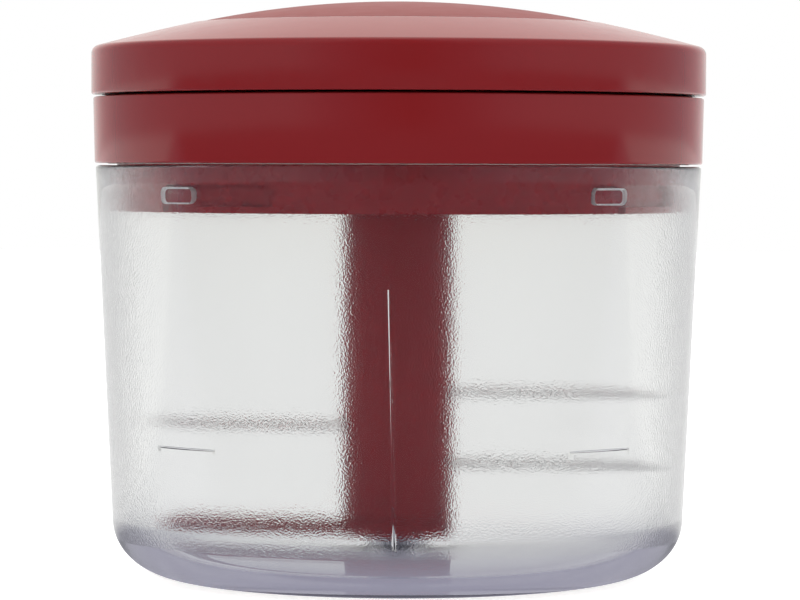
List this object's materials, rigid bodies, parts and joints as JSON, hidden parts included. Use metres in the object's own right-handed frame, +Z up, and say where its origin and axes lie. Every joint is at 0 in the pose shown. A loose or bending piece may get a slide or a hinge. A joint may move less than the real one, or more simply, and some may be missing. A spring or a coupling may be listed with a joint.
{
  "type": "food chopper",
  "caption": "Hand-pulled food chopper: clear tapered bowl with a bladed shaft inside, and a domed two-tier lid whose upper tier is a ring pull on a cord.",
  "frame": {"origin": "centre of the bowl's flat underside, on the chopper's vertical axis", "axes": "+Z up along the chopper's axis, -Y towards the front, +X to the right as seen from the front"},
  "size_m": [0.129, 0.129, 0.1205],
  "materials": {
    "clear_plastic": "clear, with a lightly frosted inner wall",
    "red_plastic": "glossy",
    "dark_red_plastic": "satin",
    "pale_plastic": "satin",
    "seal_rubber": "matte",
    "blade_steel": "ground",
    "steel": "bright",
    "cord": "braided"
  },
  "bodies": {
    "bowl": {"bowl": "clear_plastic", "pivot_pin": "steel"},
    "seal": {"lid_seal": "seal_rubber"},
    "lid": {"lid_housing": "red_plastic", "lid_base": "red_plastic", "base_screw_1": "steel", "base_screw_2": "steel", "base_screw_3": "steel", "base_screw_4": "steel", "bearing_bush": "pale_plastic", "drum_axle": "steel", "recoil_spring": "steel", "cord_eyelet": "steel", "roller_pin": "steel", "cord_run": "cord", "cord_lead": "cord"},
    "handle": {"ring_top": "red_plastic", "ring_tray": "dark_red_plastic", "ring_screw_1": "steel", "ring_screw_2": "steel", "ring_screw_3": "steel", "ring_screw_4": "steel", "cord_knot": "cord"},
    "roller": {"guide_roller": "pale_plastic"},
    "drum": {"cord_drum": "pale_plastic", "drum_cover": "pale_plastic", "drive_coupler": "pale_plastic", "coupler_screw_1": "steel", "coupler_screw_2": "steel", "coupler_screw_3": "steel", "cord_winding": "cord"},
    "rotor": {"blade_shaft": "red_plastic", "pivot_sleeve": "pale_plastic", "foot_paddle": "red_plastic", "blade_upper": "blade_steel", "blade_middle": "blade_steel", "blade_lower": "blade_steel"}
  },
  "joints": [
    {"name": "lid_lift", "type": "slide", "parent": "bowl", "child": "seal", "axis": [0, 0, 1], "range_m": [0, 0.13]},
    {"name": "lid_turn", "type": "hinge", "parent": "seal", "child": "lid", "pos_m": [0, 0, 0.0861], "axis": [0, 0, -1], "range_deg": [0, 18]},
    {"name": "ring_pull", "type": "slide", "parent": "lid", "child": "handle", "axis": [0, 0, 1], "range_m": [0, 0.4], "stiffness_N_per_m": 8, "springref_m": -0.25, "deforming": ["cord_lead"]},
    {"name": "drum_spin", "type": "hinge", "parent": "lid", "child": "drum", "pos_m": [0, 0, 0.0915], "axis": [0, 0, 1], "range_deg": [0, 1085]},
    {"name": "roller_spin", "type": "hinge", "parent": "lid", "child": "roller", "pos_m": [0.0212, 0.0453, 0.0911], "axis": [1, 0, 0], "range_deg": [0, 5460]},
    {"name": "rotor_spin", "type": "hinge", "parent": "bowl", "child": "rotor", "pos_m": [0, 0, 0.04], "axis": [0, 0, 1], "range_deg": [0, 1085]}
  ],
  "couplings": [
    {"joint": "drum_spin", "follows": "ring_pull", "rad_per_m": 47.17},
    {"joint": "roller_spin", "follows": "ring_pull", "rad_per_m": 238.1},
    {"joint": "rotor_spin", "follows": "ring_pull", "rad_per_m": 47.17}
  ]
}
